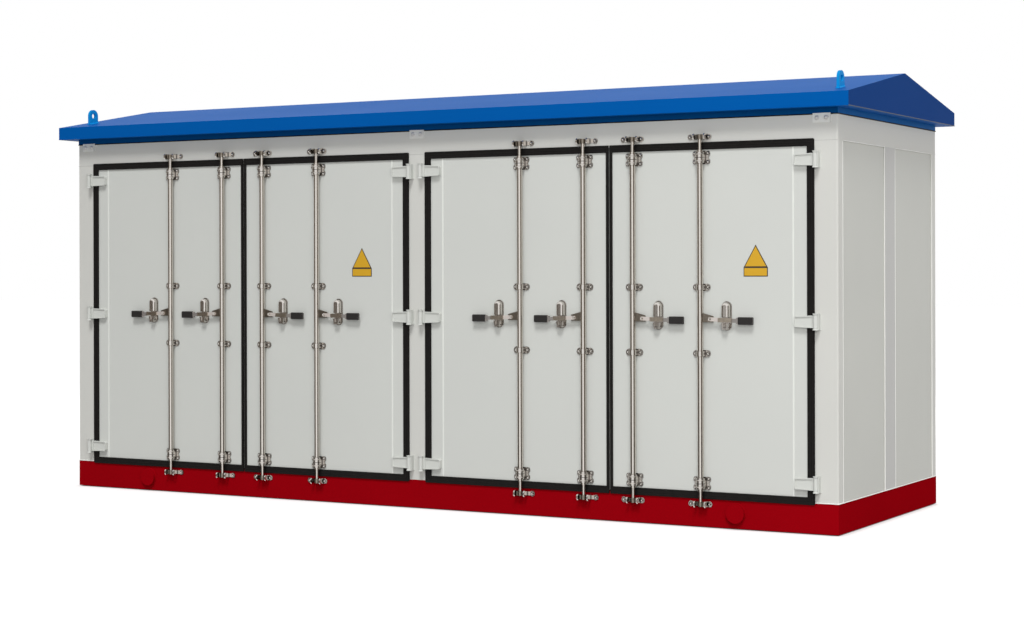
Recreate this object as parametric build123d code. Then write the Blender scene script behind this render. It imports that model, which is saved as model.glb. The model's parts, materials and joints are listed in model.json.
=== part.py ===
from build123d import *
import os

# Compact substation kiosk: a red base frame, a sheet steel enclosure with two double-door bays on
# the front, and a gabled roof. X runs along the front, Y runs to the back, Z is up, in millimetres,
# with the origin under the middle of the base.

# Enclosure, over its outer faces
body_length = 5408.0
body_depth = 1720.0
wall_top = 2300.0
wall_thickness = 50.0
sheet = 3.0

# Base frame of channels, web outwards
base_height = 169.0
channel_flange = 80.0
channel_web = 8.0
channel_flange_thickness = 10.0
cross_beam_count = 3
cross_beam_width = 70.0
boss_diameter = 110.0
boss_reach = 22.0
boss_from_rod = 204.5
floor_thickness = 6.0

# Posts and headers that frame the door bays
end_post_width = 147.0
centre_post_width = 140.0
post_depth = 75.0
header_height = 144.0
corner_radius = 9.0

# Recessed panels of the end and back walls
mullion_width = 184.0
recess_depth = 6.0
back_panel_count = 6

# Roof
roof_rail_height = 35.0
roof_rail_width = 40.0
ceiling_thickness = 20.0
eave_overhang = 90.0
end_overhang = 94.0
fascia_height = 79.0
roof_rise = 169.0
lug_width = 84.0
lug_thickness = 16.0
lug_height = 94.0
lug_hole_radius = 18.0
lug_from_end = 26.0
lug_from_wall = 115.0
clip_width = 104.0
clip_height = 52.0
clip_thickness = 4.0
clip_lap = 5.0
clip_flange = 12.0
clip_from_end = 92.0

# Door leaves and their rubber seals
leaf_thickness = 50.0
leaf_border = 70.0
leaf_pan_depth = 8.0
leaf_gap = 8.0
meeting_gap = 12.0
seal_gap = 0.5
seal_thickness = 8.0
seal_lap = 12.0
seal_width = 42.0
seal_meeting_gap = 8.0
seal_meeting_width = 16.0
seal_corner = 8.0

# Hinges
hinge_pitch = 890.0
pin_outside_seal = 16.0
pin_standoff = 34.5
pin_diameter = 14.0
pin_clearance = 0.3
barrel_diameter = 25.0
barrel_height = 70.0
butt_lug_thickness = 10.0
butt_clearance = 1.0
butt_plate_thickness = 5.0
butt_plate_reach = 17.0
strap_length = 130.0
strap_thickness = 16.0
strap_rim = 6.0
strap_rim_height = 6.0
strap_tip_radius = 11.0
strap_over_seal = 1.5
strap_tip_height = 60.0
strap_pad_gap = 5.0
butt_cap_diameter = 32.0
butt_rib_thickness = 4.0

# Lock rods
rod_diameter = 34.0
rod_wall = 3.0
rod_standoff = 24.0
rod_inner = 160.0
handle_end_gap = 83.0
stub_diameter = 23.0
bracket_bore_clearance = 0.5
end_bracket_pitch = 918.0
end_bracket_width = 106.0
end_bracket_height = 74.0
mid_bracket_pitch = 187.0
mid_bracket_width = 108.0
mid_bracket_height = 40.0
bracket_plate_thickness = 5.0
end_saddle_wall = 8.0
mid_saddle_wall = 5.0
saddle_inset = 6.0
bracket_waist_radius = 14.0
bracket_waist_depth = 8.0
bracket_corner = 12.0
rod_past_bracket = 7.0

# Keepers on the frame, with the rod cams between their ears
keeper_pitch = 1035.0
keeper_width = 146.0
keeper_plate_thickness = 5.0
keeper_offset = 12.0
keeper_ear_gap = 58.0
keeper_ear_thickness = 7.0
keeper_ear_reach = 50.0
keeper_ear_height = 34.0
cam_radius = 17.0
cam_nose_reach = 22.0
cam_nose_width = 16.0
cam_height = 26.0
keeper_lobe_radius = 16.0
keeper_waist_height = 22.0
keeper_ear_nose = 9.0

# Handles and their catches
hub_reach = 80.0
hub_rod_height = 52.0
hub_tip_height = 35.0
hub_thickness = 6.0
hub_rise = 8.0
pivot_from_rod = 59.0
pivot_diameter = 16.0
handle_reach = 322.0
handle_height = 22.0
handle_thickness = 6.0
grip_length = 92.0
grip_height = 40.0
grip_thickness = 14.0
grip_chamfer = 4.0
hasp_width = 82.0
hasp_height = 24.0
hasp_thickness = 8.0
pivot_head_height = 4.0
catch_from_rod = 153.0
catch_clearance = 6.5
catch_plate_width = 58.0
catch_plate_margin = 6.0
catch_plate_thickness = 5.0
dome_width = 48.0
dome_reach = 36.0
dome_height = 82.0
dome_wall = 3.0
hook_width = 44.0
hook_tip_width = 30.0
hook_reach = 36.0
hook_height = 36.0
hook_wall = 8.0

# Places that follow from the sizes above
front = -body_depth / 2
bay_width = (body_length - 2 * end_post_width - centre_post_width) / 2
bay_half = bay_width / 2
bay_offset = centre_post_width / 2 + bay_half
header_bottom = wall_top - header_height
door_middle = (base_height + header_bottom) / 2
leaf_face = front - seal_gap
seal_face = leaf_face - seal_thickness
rod_outer = rod_inner + handle_reach + handle_end_gap + rod_diameter / 2
pin_x = bay_half + seal_lap + pin_outside_seal
pin_y = front - pin_standoff
rod_y = leaf_face - rod_standoff
roof_base = wall_top + roof_rail_height
eave_top = roof_base + fascia_height
grip_start = handle_reach - grip_length
catch_rise = hub_rise * (grip_start - catch_from_rod) / (grip_start - pivot_from_rod)
catch_middle = door_middle + catch_rise
roof_half_depth = body_depth / 2 + eave_overhang
roof_length = body_length + 2 * end_overhang
roof_slope = roof_rise / roof_half_depth


def block(x, y, z):
    """A box between its (low, high) pairs along X, Y and Z."""
    centre = Pos((x[0] + x[1]) / 2, (y[0] + y[1]) / 2, (z[0] + z[1]) / 2)
    return centre * Box(x[1] - x[0], y[1] - y[0], z[1] - z[0])


def save(name, solids):
    """One file for each piece, or for like pieces that one body carries."""
    shape = solids[0] if len(solids) == 1 else Compound(children=solids)
    export_step(shape, f"parts/{name}.step")


def to_front(profile, y, depth):
    """A profile drawn with X across and Z up, made solid from depth in front of y back to y."""
    return extrude(Plane.XZ.offset(-y) * profile, depth)


def both_sides(piece, plane):
    """The piece and its mirror image."""
    return [piece, mirror(piece, about=plane)]


def perimeter_ring(width, low, high):
    """A ring of rails, flush with the enclosure's faces."""
    outer = block((-body_length / 2, body_length / 2), (front, -front), (low, high))
    inner = block(
        (-body_length / 2 + width, body_length / 2 - width),
        (front + width, -front - width),
        (low, high),
    )
    return outer - inner


def mitred_rails(ring, width, low, high):
    """The ring cut at 45 degrees into two side rails and two end rails."""
    half = body_length / 2
    side = Polygon((-half, front), (half, front), (half - width, front + width), (-half + width, front + width),
                   align=None)
    end = Polygon((half, front), (half, -front), (half - width, -front - width), (half - width, front + width),
                  align=None)
    rail_side = ring & (Pos(0, 0, low) * extrude(side, high - low))
    rail_end = ring & (Pos(0, 0, low) * extrude(end, high - low))
    return both_sides(rail_side, Plane.XZ), both_sides(rail_end, Plane.YZ)


def make_base():
    """Perimeter channels with mitred corners, and cross beams between their flanges."""
    ring = perimeter_ring(channel_flange, 0, base_height)
    pocket_low = channel_flange_thickness
    pocket_high = base_height - channel_flange_thickness
    half = body_length / 2 - channel_web
    half_depth = body_depth / 2 - channel_web
    ring -= block((-half, half), (-half_depth, half_depth), (pocket_low, pocket_high))
    sides, ends = mitred_rails(ring, channel_flange, 0, base_height)
    save("base_side_beams", sides)
    save("base_end_beams", ends)
    spacing = body_length / (cross_beam_count + 1)
    beams = []
    for index in range(cross_beam_count):
        x = -body_length / 2 + spacing * (index + 1)
        beams.append(block((x - cross_beam_width / 2, x + cross_beam_width / 2),
                           (front + channel_web, -front - channel_web), (pocket_low, pocket_high)))
    save("base_cross_beams", beams)


def make_bosses():
    """Round lifting bosses welded to the webs of the side beams, outside the last lock rods."""
    x = bay_offset + rod_outer + boss_from_rod
    boss = Pos(x, front, base_height / 2) * Rot(90, 0, 0) * Cylinder(
        boss_diameter / 2, boss_reach, align=(Align.CENTER, Align.CENTER, Align.MIN))
    pair = both_sides(boss, Plane.YZ)
    save("lifting_bosses", pair + [mirror(piece, about=Plane.XZ) for piece in pair])


def make_floor():
    """One plate on the channels' top flanges, behind the door sills."""
    inside = body_length / 2 - wall_thickness
    floor_front = front + leaf_thickness + 2 * leaf_gap
    plate = block((-inside, inside), (floor_front, -front - wall_thickness),
                  (base_height, base_height + floor_thickness))
    for x in (-1, 1):
        for y in (-1, 1):
            corner = Pos(x * body_length / 2, y * body_depth / 2, base_height)
            plate -= corner * Box(2 * end_post_width, 2 * post_depth, 2 * floor_thickness)
    plate -= block((-centre_post_width / 2, centre_post_width / 2), (front, front + post_depth),
                   (base_height, base_height + floor_thickness))
    save("floor_plate", [plate])


def box_post(low_x, high_x, rounded):
    """A folded box post behind the front face, with one bent outer edge where rounded is true."""
    post = block((low_x, high_x), (front, front + post_depth), (base_height, header_bottom))
    if rounded:
        edges = post.edges().filter_by(Axis.Z).sort_by(Axis.X)[-2:].sort_by(Axis.Y)
        post = fillet(edges[0], corner_radius)
    return post - block((low_x + sheet, high_x - sheet), (front + sheet, front + post_depth - sheet),
                        (base_height, header_bottom))


def make_posts():
    """Four corner posts, and the centre post between the door bays."""
    corner = box_post(body_length / 2 - end_post_width, body_length / 2, True)
    pair = both_sides(corner, Plane.YZ)
    save("corner_posts", pair + [mirror(post, about=Plane.XZ) for post in pair])
    save("centre_post", [box_post(-centre_post_width / 2, centre_post_width / 2, False)])


def make_headers():
    """Folded channels, open to the inside, that tie the posts together over the doors and walls."""
    half = body_length / 2
    header = block((-half, half), (front, front + post_depth), (header_bottom, wall_top))
    header = fillet(header.edges().filter_by(Axis.Z).sort_by(Axis.Y)[:2], corner_radius)
    header -= block((-half + sheet, half - sheet), (front + sheet, front + post_depth),
                    (header_bottom + sheet, wall_top - sheet))
    save("side_headers", both_sides(header, Plane.XZ))
    end = block((half - wall_thickness, half), (front + post_depth, -front - post_depth),
                (header_bottom, wall_top))
    end -= block((half - wall_thickness, half - sheet), (front + post_depth + sheet, -front - post_depth - sheet),
                 (header_bottom + sheet, wall_top - sheet))
    save("end_headers", both_sides(end, Plane.YZ))


def make_walls():
    """Sandwich panels between the posts, recessed behind flush mullions."""
    half = body_length / 2
    inside = half - wall_thickness
    between = (front + post_depth, -front - post_depth)
    height = (base_height, header_bottom)
    end = block((inside, half - recess_depth), between, height)
    end += block((half - recess_depth, half), (-mullion_width / 2, mullion_width / 2), height)
    save("right_end_wall", [end])
    save("left_end_wall", [mirror(end, about=Plane.YZ)])
    run = body_length - 2 * end_post_width
    panel_pitch = (run + mullion_width) / back_panel_count
    back_inside = -front - wall_thickness
    back = block((-run / 2, run / 2), (back_inside, -front - recess_depth), height)
    for index in range(1, back_panel_count):
        x = -run / 2 + index * panel_pitch - mullion_width / 2
        back += block((x - mullion_width / 2, x + mullion_width / 2), (-front - recess_depth, -front), height)
    save("back_wall", [back])


def make_roof():
    """Rails on the headers, a ceiling between them, and a folded gable cover with its soffit."""
    ring = perimeter_ring(roof_rail_width, wall_top, roof_base)
    sides, ends = mitred_rails(ring, roof_rail_width, wall_top, roof_base)
    save("roof_side_rails", sides)
    save("roof_end_rails", ends)
    half = body_length / 2 - roof_rail_width
    half_depth = body_depth / 2 - roof_rail_width
    save("ceiling_panel", [block((-half, half), (-half_depth, half_depth),
                                 (wall_top, wall_top + ceiling_thickness))])
    outline = Polygon((-roof_half_depth, roof_base), (roof_half_depth, roof_base), (roof_half_depth, eave_top),
                      (0, eave_top + roof_rise), (-roof_half_depth, eave_top), align=None)
    cover = extrude(Plane.YZ.offset(-roof_length / 2) * outline, roof_length)
    inner = offset(outline, -sheet)
    cover -= extrude(Plane.YZ.offset(-roof_length / 2 + sheet) * inner, roof_length - 2 * sheet)
    cover -= block((-half, half), (-half_depth, half_depth), (roof_base, roof_base + sheet))
    save("roof_cover", [cover])


def make_lugs():
    """Lifting plates with round eyes, welded upright to the roof slopes near the four corners."""
    x = body_length / 2 - lug_from_end
    y = front + lug_from_wall
    seat = eave_top + (y + roof_half_depth) * roof_slope
    radius = lug_width / 2
    eye = Pos(y, seat + lug_height - radius) * Circle(radius)
    stem = Polygon((y - radius, seat - radius * roof_slope), (y + radius, seat + radius * roof_slope),
                   (y + radius, seat + lug_height - radius), (y - radius, seat + lug_height - radius), align=None)
    profile = eye + stem - Pos(y, seat + lug_height - radius) * Circle(lug_hole_radius)
    lug = extrude(Plane.YZ.offset(x - lug_thickness / 2) * profile, lug_thickness)
    pair = both_sides(lug, Plane.YZ)
    save("lifting_lugs", pair + [mirror(piece, about=Plane.XZ) for piece in pair])


def make_clips():
    """Bolted plates that tie the roof rails down to the headers, three on each long side."""
    top = wall_top + clip_lap
    clips = []
    edge = body_length / 2 - clip_from_end
    for x in (-edge, 0, edge):
        plate = block((x - clip_width / 2, x + clip_width / 2), (front - clip_thickness, front),
                      (top - clip_height, top))
        plate += block((x + clip_width / 2 - clip_thickness, x + clip_width / 2), (front - clip_flange, front),
                       (top - clip_height, top))
        clips.append(plate)
    save("roof_clips", clips + [mirror(clip, about=Plane.XZ) for clip in clips])


def make_leaf():
    """The leaf of a door hinged at +X, with its bay centred on X 0 and a shallow pan on its inside."""
    x = (meeting_gap / 2, bay_half - leaf_gap)
    z = (base_height + leaf_gap, header_bottom - leaf_gap)
    back = leaf_face + leaf_thickness
    leaf = block(x, (leaf_face, back), z)
    return leaf - block((x[0] + leaf_border, x[1] - leaf_border), (back - leaf_pan_depth, back),
                        (z[0] + leaf_border, z[1] - leaf_border))


def make_seal():
    """A rubber frame that covers the gap round the leaf and laps on to the posts."""
    outer = block((seal_meeting_gap / 2, bay_half + seal_lap), (seal_face, leaf_face),
                  (base_height - seal_lap, header_bottom + seal_lap))
    outer = fillet(outer.edges().filter_by(Axis.Y).sort_by(Axis.X)[-2:], seal_corner)
    inner = block(
        (seal_meeting_gap / 2 + seal_meeting_width, bay_half + seal_lap - seal_width),
        (seal_face, leaf_face),
        (base_height - seal_lap + seal_width, header_bottom + seal_lap - seal_width),
    )
    return outer - inner


def hinge_strap(z):
    """A forged strap: the barrel round the pin, a rimmed tongue over the seal and a pad on the leaf."""
    back = seal_face - strap_over_seal
    tip_x = pin_x - strap_length
    root = barrel_height / 2
    tip = strap_tip_height / 2
    tongue = Polygon((pin_x, z - root), (pin_x, z + root), (tip_x, z + tip), (tip_x, z - tip), align=None)
    tongue = fillet(tongue.vertices().sort_by(Axis.X)[:2], strap_tip_radius)
    strap = to_front(tongue, back, strap_thickness)
    field = offset(tongue, -strap_rim, kind=Kind.INTERSECTION)
    field -= Pos(pin_x, z) * Rectangle(2 * barrel_diameter, 2 * barrel_height)
    strap -= to_front(field, back - strap_thickness + strap_rim_height, strap_rim_height)
    pad_edge = bay_half + seal_lap - seal_width - strap_pad_gap
    pad = to_front(tongue, leaf_face, leaf_face - back)
    strap += pad & block((tip_x, pad_edge), (back, leaf_face), (z - root, z + root))
    strap += Pos(pin_x, pin_y, z) * Cylinder(barrel_diameter / 2, barrel_height)
    return strap - Pos(pin_x, pin_y, z) * Cylinder(pin_diameter / 2 + pin_clearance, barrel_height)


def hinge_butt(z):
    """A welded butt on the post: a back plate, two flared lugs round the pin, and a rib outside them."""
    inner = barrel_height / 2 + butt_clearance
    outer = inner + butt_lug_thickness
    radius = barrel_diameter / 2
    edge_x = pin_x + butt_plate_reach
    butt = block((pin_x - radius, edge_x), (front - butt_plate_thickness, front), (z - outer, z + outer))
    butt += block((edge_x - butt_rib_thickness, edge_x), (pin_y, front), (z - outer, z + outer))
    lug = block((pin_x, edge_x), (pin_y, front), (inner, outer))
    lug += Pos(pin_x, pin_y, inner) * Cone(radius, butt_cap_diameter / 2, butt_lug_thickness,
                                           align=(Align.CENTER, Align.CENTER, Align.MIN))
    for piece in both_sides(lug, Plane.XY):
        butt += Pos(0, 0, z) * piece
    return butt + Pos(pin_x, pin_y, z) * Cylinder(pin_diameter / 2, 2 * outer)


def rod_bracket(x, z, width, height, saddle_wall):
    """A saddle on the leaf round a lock rod; a tall one is waisted between its four bolt lobes."""
    if height > rod_diameter + 2 * bracket_corner:
        plate = RectangleRounded(width, height, bracket_corner)
        for side in (-1, 1):
            waist_x = side * (width / 2 + bracket_waist_radius - bracket_waist_depth)
            plate -= Pos(waist_x, 0) * Circle(bracket_waist_radius)
    else:
        plate = SlotOverall(width, height)
    bracket = to_front(Pos(x, z) * plate, leaf_face, bracket_plate_thickness)
    bore = rod_diameter / 2 + bracket_bore_clearance
    half = bore + saddle_wall
    saddle_height = height - 2 * saddle_inset
    bracket += Pos(x, rod_y, z) * Cylinder(half, saddle_height)
    bracket += block((x - half, x + half), (rod_y, leaf_face), (z - saddle_height / 2, z + saddle_height / 2))
    bracket -= block((x - half, x + half), (leaf_face, leaf_face + half), (z - height, z + height))
    return bracket - Pos(x, rod_y, z) * Cylinder(bore, 2 * height)


def rod_brackets(x):
    """The four brackets of one rod: tall ones near its ends, short ones either side of the handle."""
    brackets = []
    for side in (-1, 1):
        brackets.append(rod_bracket(x, door_middle + side * end_bracket_pitch,
                                    end_bracket_width, end_bracket_height, end_saddle_wall))
        brackets.append(rod_bracket(x, door_middle + side * mid_bracket_pitch,
                                    mid_bracket_width, mid_bracket_height, mid_saddle_wall))
    return brackets


def dome(x, low, radius, height, reach):
    """A half capsule that stands on the leaf, with a round top and a rounded front."""
    shape = to_front(Pos(x, low + height - radius) * Circle(radius), leaf_face, reach)
    shape += block((x - radius, x + radius), (leaf_face - reach, leaf_face), (low, low + height - radius))
    return fillet(shape.faces().sort_by(Axis.Y)[0].edges().sort_by(Axis.Z)[1:], radius * 0.6)


def handle_catch(rod_x):
    """The plate behind the handle bar, with a dome cover above the bar and a forked hook below it."""
    x = rod_x + catch_from_rod
    clear = handle_height / 2 + catch_clearance
    top = catch_middle + clear + dome_height + catch_plate_margin
    low = catch_middle - clear - hook_height - catch_plate_margin
    plate = Pos(x, (top + low) / 2) * SlotOverall(top - low, catch_plate_width, rotation=90)
    cover = dome(x, catch_middle + clear, dome_width / 2, dome_height, dome_reach)
    cover -= dome(x, catch_middle + clear, dome_width / 2 - dome_wall, dome_height - dome_wall,
                  dome_reach - dome_wall)
    catch = cover + to_front(plate, leaf_face, catch_plate_thickness)
    hook_top = catch_middle - clear
    hook_low = hook_top - hook_height
    outline = Polygon((x - hook_tip_width / 2, hook_low), (x + hook_tip_width / 2, hook_low),
                      (x + hook_width / 2, hook_top), (x - hook_width / 2, hook_top), align=None)
    hook = to_front(outline, leaf_face, hook_reach)
    inside = (leaf_face - hook_reach + hook_wall, leaf_face - catch_plate_thickness)
    hook -= block((x - hook_width / 2, x + hook_width / 2), inside, (hook_low + hook_wall, hook_top))
    hook -= block((x - hook_tip_width / 2 + hook_wall, x + hook_tip_width / 2 - hook_wall),
                  (leaf_face - hook_reach, inside[0]), (hook_low + hook_wall, hook_top))
    return catch + hook


def lock_rod(x):
    """A tube in its brackets, with a stub and cam at each end and the handle's hub plate."""
    half = end_bracket_pitch + end_bracket_height / 2 + rod_past_bracket
    rod = Cylinder(rod_diameter / 2, 2 * half) - Cylinder(rod_diameter / 2 - rod_wall, 2 * (half - rod_wall))
    cam_end = keeper_pitch + cam_height / 2
    cam = Circle(cam_radius) + Pos(cam_nose_reach / 2, 0) * Rectangle(cam_nose_reach, cam_nose_width)
    end = Pos(0, 0, half - rod_wall) * Cylinder(stub_diameter / 2, cam_end - half + rod_wall,
                                                align=(Align.CENTER, Align.CENTER, Align.MIN))
    end += Pos(0, 0, keeper_pitch - cam_height / 2) * extrude(cam, cam_height)
    for piece in both_sides(end, Plane.XY):
        rod += piece
    inner = rod_diameter / 2 - rod_wall
    bottom = hub_rise - hub_tip_height / 2
    hub = Polygon((inner, bottom), (hub_reach, bottom), (hub_reach, bottom + hub_tip_height),
                  (inner, bottom + hub_rod_height), align=None)
    hub -= Pos(pivot_from_rod, hub_rise) * Circle(pivot_diameter / 2)
    rod += to_front(hub, hub_thickness / 2, hub_thickness) - Cylinder(inner, 2 * hub_rod_height)
    return Pos(x, rod_y, door_middle) * rod


def handle(x):
    """A flat bar that drops from the pivot bolt to a dipped grip, with a hasp plate at the catch."""
    face = -hub_thickness / 2
    half = handle_height / 2
    bar = Polygon((pivot_from_rod, hub_rise - half), (grip_start, -half), (handle_reach - half, -half),
                  (handle_reach - half, half), (grip_start, half), (pivot_from_rod, hub_rise + half), align=None)
    bar += Pos(pivot_from_rod, hub_rise) * Circle(half)
    solid = to_front(bar, face, handle_thickness)
    hasp = Pos(catch_from_rod, catch_rise) * Rectangle(hasp_width, hasp_height)
    solid += to_front(hasp, face - handle_thickness, hasp_thickness - handle_thickness / 2)
    grip = Pos(handle_reach - grip_length / 2, 0) * Rectangle(grip_length, grip_height)
    grip_back = face - handle_thickness / 2 + grip_thickness / 2
    sleeve = to_front(grip, grip_back, grip_thickness)
    solid += chamfer(sleeve.edges().filter_by(Axis.X), grip_chamfer)
    pivot = Pos(pivot_from_rod, hub_rise) * Circle(pivot_diameter / 2)
    solid += to_front(pivot, hub_thickness / 2, hub_thickness + handle_thickness + pivot_head_height)
    return Pos(x, rod_y, door_middle) * solid


def keeper(rod_x, height_from_middle):
    """A waisted plate bolted to the frame, with two ears that take the rod's cam between them."""
    plate_x = rod_x - keeper_offset
    z = door_middle + height_from_middle
    lobe_x = keeper_width / 2 - keeper_lobe_radius
    plate = Rectangle(2 * lobe_x, keeper_waist_height)
    for side in (-1, 1):
        plate += Pos(side * lobe_x, 0) * Circle(keeper_lobe_radius)
    shape = to_front(Pos(plate_x, z) * plate, front, keeper_plate_thickness)
    half = keeper_ear_height / 2
    tip = front - keeper_ear_reach
    ear = Polygon((tip, -half + keeper_ear_nose), (tip + keeper_ear_nose, -half), (front, -half), (front, half),
                  (tip + keeper_ear_nose, half), (tip, half - keeper_ear_nose), align=None)
    gap = keeper_ear_gap / 2
    for low in (-gap - keeper_ear_thickness, gap):
        shape += Pos(rod_x + low, 0, z) * extrude(Plane.YZ * ear, keeper_ear_thickness)
    return shape


def placed(piece, bay, side):
    """A piece drawn for a door hinged at +X, put on the door of the given bay and side."""
    if side < 0:
        piece = mirror(piece, about=Plane.YZ)
    return Pos(bay * bay_offset, 0, 0) * piece


def make_doors():
    """Two bays with a pair of doors each: leaves, seals, hinges, lock gear and handles."""
    heights = [door_middle + step * hinge_pitch for step in (-1, 0, 1)]
    straps = [hinge_strap(z) for z in heights]
    butts = [hinge_butt(z) for z in heights]
    rods_x = (rod_inner, rod_outer)
    fittings = [bracket for x in rods_x for bracket in rod_brackets(x)]
    fittings += [handle_catch(x) for x in rods_x]
    keepers = [keeper(x, step * keeper_pitch) for x in rods_x for step in (-1, 1)]
    all_butts = []
    all_keepers = []
    door_number = 0
    rod_number = 0
    for bay in (-1, 1):
        for side in (-1, 1):
            door_number += 1
            save(f"door_{door_number}_leaf", [placed(make_leaf(), bay, side)])
            save(f"door_{door_number}_seal", [placed(make_seal(), bay, side)])
            save(f"door_{door_number}_hinge_straps", [placed(strap, bay, side) for strap in straps])
            save(f"door_{door_number}_lock_fittings", [placed(piece, bay, side) for piece in fittings])
            all_butts += [placed(butt, bay, side) for butt in butts]
            all_keepers += [placed(piece, bay, side) for piece in keepers]
            for x in (rods_x if side > 0 else rods_x[::-1]):
                rod_number += 1
                save(f"lock_rod_{rod_number}", [placed(lock_rod(x), bay, side)])
                save(f"handle_{rod_number}", [placed(handle(x), bay, side)])
    save("hinge_butts", all_butts)
    save("keepers", all_keepers)


os.makedirs("parts", exist_ok=True)
make_base()
make_bosses()
make_floor()
make_posts()
make_headers()
make_walls()
make_roof()
make_lugs()
make_clips()
make_doors()
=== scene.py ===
import json
import math

import bpy
from mathutils import Euler, Matrix, Vector

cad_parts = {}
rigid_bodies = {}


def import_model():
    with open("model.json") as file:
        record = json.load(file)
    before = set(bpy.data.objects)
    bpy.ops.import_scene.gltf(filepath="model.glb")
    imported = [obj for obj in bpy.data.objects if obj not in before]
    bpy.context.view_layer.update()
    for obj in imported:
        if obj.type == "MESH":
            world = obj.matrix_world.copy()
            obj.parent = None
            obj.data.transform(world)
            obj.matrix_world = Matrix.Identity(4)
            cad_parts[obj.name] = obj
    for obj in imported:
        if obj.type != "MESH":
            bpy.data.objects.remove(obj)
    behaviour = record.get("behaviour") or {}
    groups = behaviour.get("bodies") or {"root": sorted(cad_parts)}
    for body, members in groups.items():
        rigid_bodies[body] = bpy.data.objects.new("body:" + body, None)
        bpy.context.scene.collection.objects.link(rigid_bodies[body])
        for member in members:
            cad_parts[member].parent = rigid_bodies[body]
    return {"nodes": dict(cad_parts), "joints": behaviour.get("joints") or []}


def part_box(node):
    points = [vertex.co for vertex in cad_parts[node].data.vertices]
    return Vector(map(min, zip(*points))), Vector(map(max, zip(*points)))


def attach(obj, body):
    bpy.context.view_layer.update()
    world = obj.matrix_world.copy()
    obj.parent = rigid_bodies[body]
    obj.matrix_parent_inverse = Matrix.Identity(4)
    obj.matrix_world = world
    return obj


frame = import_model()
nodes = frame["nodes"]
joints = {joint["name"]: joint for joint in frame["joints"]}
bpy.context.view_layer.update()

# The camera stands in front of the kiosk and to its right, a little over the height of a standing
# eye. It looks level, and a small shift lowers the frame to the object, as an upright lens does.
camera_place = (6.534, -11.240, 1.462)
camera_turn = math.radians(29.489)
camera_roll = math.radians(-0.148)
camera = bpy.data.objects.new("camera", bpy.data.cameras.new("camera"))
camera.data.sensor_width = 36.0
camera.data.lens = 70.52
camera.data.shift_y = -0.0451
upright = Euler((math.radians(90), 0, camera_turn)).to_matrix().to_4x4()
camera.matrix_world = Matrix.Translation(camera_place) @ upright @ Matrix.Rotation(camera_roll, 4, "Z")
bpy.context.scene.collection.objects.link(camera)
bpy.context.scene.camera = camera

# The base frame is rolled steel channel, mitred and welded at the corners, with cross beams between
# the sides. It is shot-blasted and sprayed with a thick red alkyd enamel.
MILLIMETRE = 0.001


def linear(colour):
    """A six-digit sRGB hex colour as linear red, green, blue and alpha."""
    parts = [int(colour[i:i + 2], 16) / 255 for i in (1, 3, 5)]
    return (*[c / 12.92 if c <= 0.04045 else ((c + 0.055) / 1.055) ** 2.4 for c in parts], 1.0)


def add(tree, kind, inputs=(), **settings):
    """Adds a node with its settings, and sets each named input or links it to another socket."""
    made = tree.nodes.new(kind)
    for name, value in settings.items():
        setattr(made, name, value)
    for name, value in dict(inputs).items():
        if isinstance(value, bpy.types.NodeSocket):
            tree.links.new(value, made.inputs[name])
        else:
            made.inputs[name].default_value = value
    return made


def start_material(name):
    """An empty material, its tree and a socket with the place on the object in metres."""
    material = bpy.data.materials.new(name)
    material.use_nodes = True
    tree = material.node_tree
    tree.nodes.clear()
    place = add(tree, "ShaderNodeTexCoord").outputs["Object"]
    return material, tree, place


def end_material(tree, inputs):
    """Ends a tree with one principled shader that has the given inputs."""
    shader = add(tree, "ShaderNodeBsdfPrincipled", inputs)
    add(tree, "ShaderNodeOutputMaterial", {"Surface": shader.outputs["BSDF"]})


def sprayed(name, colour, shade, roughness, peel_mm, peel_depth_mm, gloss=0.5):
    """Sprayed or powder paint: a faint drift between two tones, and orange peel in the gloss."""
    drift_mm, roughness_drift, peel_strength = 770.0, 0.04, 0.6
    material, tree, place = start_material(name)
    drift = add(tree, "ShaderNodeTexNoise", {"Vector": place, "Scale": 1 / (drift_mm * MILLIMETRE),
                                             "Detail": 3.0})
    tone = add(tree, "ShaderNodeMix", {0: drift.outputs["Fac"], 6: linear(colour), 7: linear(shade)},
               data_type="RGBA")
    peel = add(tree, "ShaderNodeTexNoise", {"Vector": place, "Scale": 1 / (peel_mm * MILLIMETRE),
                                            "Detail": 2.0})
    bump = add(tree, "ShaderNodeBump", {"Height": peel.outputs["Fac"], "Strength": peel_strength,
                                        "Distance": peel_depth_mm * MILLIMETRE})
    polish = add(tree, "ShaderNodeMapRange", {"Value": drift.outputs["Fac"],
                                              "To Min": roughness - roughness_drift,
                                              "To Max": roughness + roughness_drift})
    end_material(tree, {"Base Color": tone.outputs[2], "Roughness": polish.outputs["Result"],
                        "Normal": bump.outputs["Normal"], "Specular IOR Level": gloss})
    return material


def give(node_names, material):
    """Gives a material to CAD nodes, in every slot."""
    for name in node_names:
        mesh = nodes[name].data
        if not mesh.materials:
            mesh.materials.append(material)
        for slot in range(len(mesh.materials)):
            mesh.materials[slot] = material


def give_faces(name, material, chosen):
    """Gives a material to those faces of a CAD node whose centre and normal the test accepts."""
    mesh = nodes[name].data
    mesh.materials.append(material)
    for face in mesh.polygons:
        if chosen(face.center, face.normal):
            face.material_index = len(mesh.materials) - 1


# Alkyd enamel: deep, even red with a low soft gloss and a coarse peel from the thick coat.
red_enamel = sprayed("red_alkyd_enamel", "#9a0410", "#90030e", 0.60, 9.0, 0.05, gloss=0.0)
give(["base_side_beams", "base_end_beams", "base_cross_beams"], red_enamel)
base_low, base_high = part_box("base_side_beams")

# Round lifting bosses are turned from bar and welded to the side beams with one fillet bead all
# round. A bead shows the ripples that the electrode leaves, and the enamel runs over it.
give(["lifting_bosses"], red_enamel)
boss_weld_radius = 0.005
boss_weld_ripple = 0.18
boss_weld_points = 64
weld_ripple_pitch = 0.005


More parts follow.
